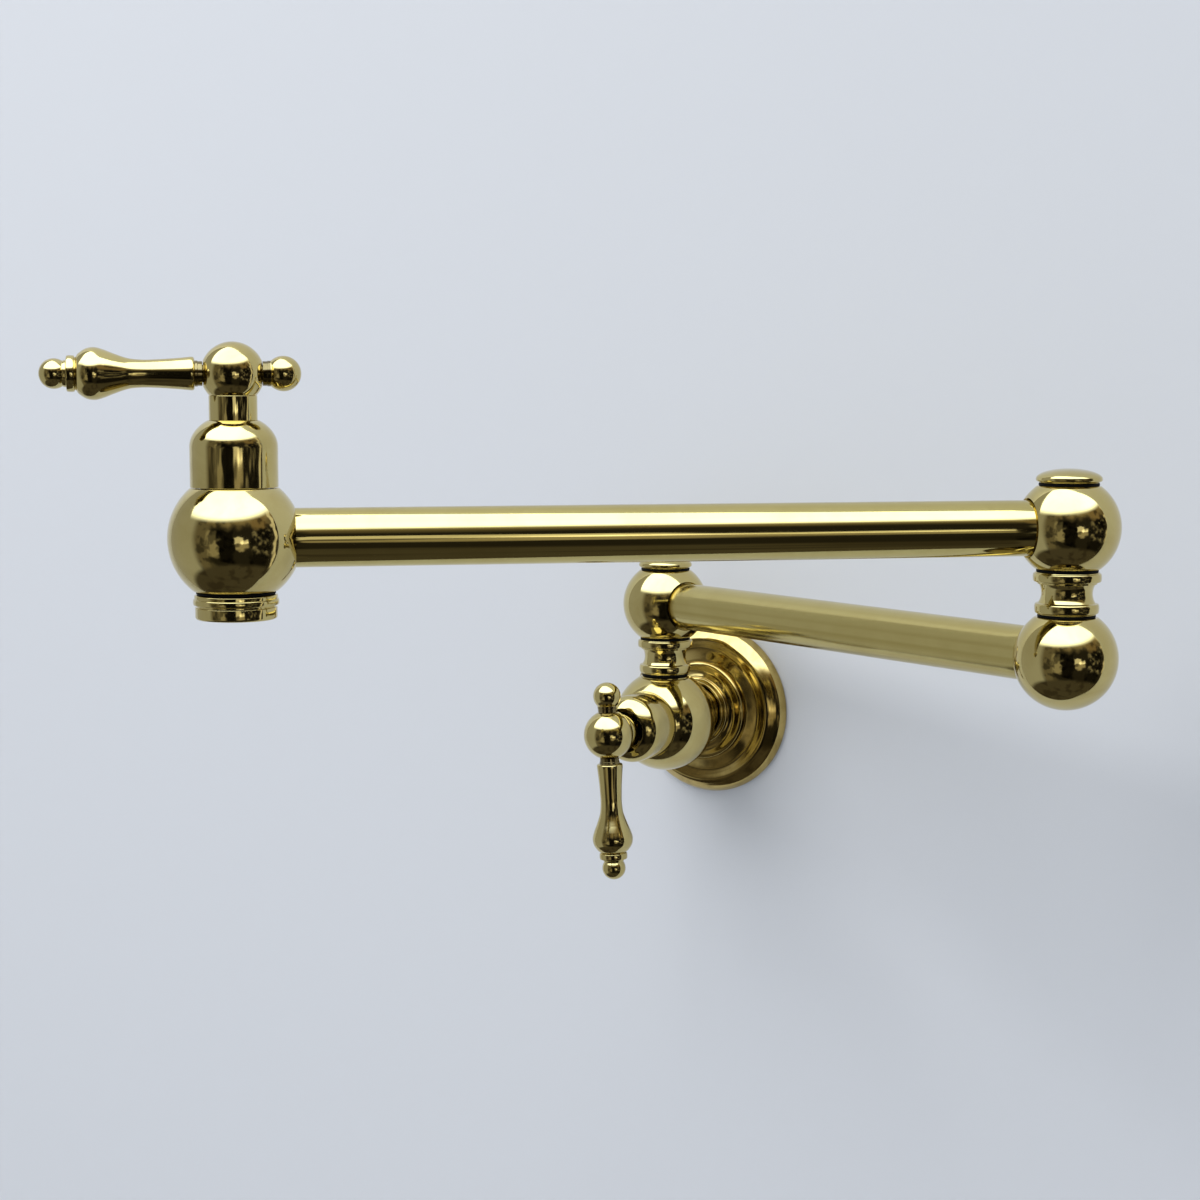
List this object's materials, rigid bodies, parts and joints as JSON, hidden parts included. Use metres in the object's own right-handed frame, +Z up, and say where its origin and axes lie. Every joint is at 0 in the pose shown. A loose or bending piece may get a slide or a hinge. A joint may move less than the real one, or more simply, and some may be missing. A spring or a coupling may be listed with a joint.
{
  "type": "wall mounted pot filler",
  "caption": "Brass wall tap on two folding arms, with ball joints, a quarter-turn lever valve at the wall and another over the outlet.",
  "frame": {"origin": "centre of the wall flange on the face of the wall", "axes": "+X right along the wall, +Y into the wall, +Z up"},
  "size_m": [0.2884, 0.3985, 0.2269],
  "materials": {
    "polished_brass": "polished unlacquered brass",
    "flange_brass": "spun brass, a deeper gold, slightly wavy",
    "brushed_brass": "drawn tube, fine lengthwise brushing",
    "raw_brass": "machined brass, not polished",
    "seal_rubber": "black seal rubber",
    "ceramic": "lapped alumina ceramic",
    "stainless_steel": "stainless steel",
    "white_plastic": "moulded flow straightener"
  },
  "bodies": {
    "wall_mount": {"wall_flange": "flange_brass", "flange_collar": "flange_brass", "inlet_nipple": "raw_brass", "nipple_seal": "seal_rubber", "valve_body": "polished_brass", "wall_seat_seal": "seal_rubber", "wall_fixed_disc": "ceramic", "wall_cartridge_body": "raw_brass", "wall_cartridge_o_ring": "seal_rubber", "wall_bonnet": "polished_brass", "wall_swivel_lower_washer": "seal_rubber", "wall_swivel_spool": "polished_brass", "wall_swivel_upper_washer": "seal_rubber", "wall_swivel_stem": "raw_brass", "wall_swivel_lower_o_ring": "seal_rubber", "wall_swivel_upper_o_ring": "seal_rubber", "wall_swivel_cap_washer": "seal_rubber", "wall_swivel_cap": "polished_brass"},
    "wall_handle": {"wall_moving_disc": "ceramic", "wall_spindle": "raw_brass", "wall_spindle_o_ring": "seal_rubber", "wall_spindle_clip": "stainless_steel", "wall_hub": "polished_brass", "wall_hub_set_screw": "stainless_steel", "wall_lever": "polished_brass", "wall_finial": "polished_brass"},
    "first_arm": {"wall_swivel_ball": "polished_brass", "first_arm_tube": "brushed_brass", "elbow_lower_ball": "polished_brass", "elbow_lower_washer": "seal_rubber", "elbow_spool": "polished_brass", "elbow_upper_washer": "seal_rubber", "elbow_stem": "raw_brass", "elbow_lower_o_ring": "seal_rubber", "elbow_upper_o_ring": "seal_rubber", "elbow_cap_washer": "seal_rubber", "elbow_cap": "polished_brass"},
    "second_arm": {"elbow_upper_ball": "polished_brass", "second_arm_tube": "brushed_brass", "outlet_body": "polished_brass", "outlet_seat_seal": "seal_rubber", "outlet_fixed_disc": "ceramic", "outlet_cartridge_body": "raw_brass", "outlet_cartridge_o_ring": "seal_rubber", "outlet_bonnet": "polished_brass", "aerator_washer": "seal_rubber", "aerator_housing": "polished_brass", "aerator_insert": "white_plastic", "aerator_screen": "stainless_steel"},
    "outlet_handle": {"outlet_moving_disc": "ceramic", "outlet_spindle": "raw_brass", "outlet_spindle_o_ring": "seal_rubber", "outlet_spindle_clip": "stainless_steel", "outlet_hub": "polished_brass", "outlet_hub_set_screw": "stainless_steel", "outlet_lever": "polished_brass", "outlet_finial": "polished_brass"}
  },
  "joints": [
    {"name": "wall_handle_turn", "type": "hinge", "parent": "wall_mount", "child": "wall_handle", "pos_m": [0, -0.044, 0], "axis": [0, -1, 0], "range_deg": [0, 90]},
    {"name": "first_arm_swing", "type": "hinge", "parent": "wall_mount", "child": "first_arm", "pos_m": [0, -0.044, 0.0521], "axis": [0, 0, -1], "range_deg": [-23, 156]},
    {"name": "second_arm_swing", "type": "hinge", "parent": "first_arm", "child": "second_arm", "pos_m": [0.21679, -0.13826, 0.0991], "axis": [0, 0, 1], "continuous": true},
    {"name": "outlet_handle_turn", "type": "hinge", "parent": "second_arm", "child": "outlet_handle", "pos_m": [-0.00456, -0.33069, 0.0991], "axis": [0, 0, 1], "range_deg": [0, 90]}
  ]
}
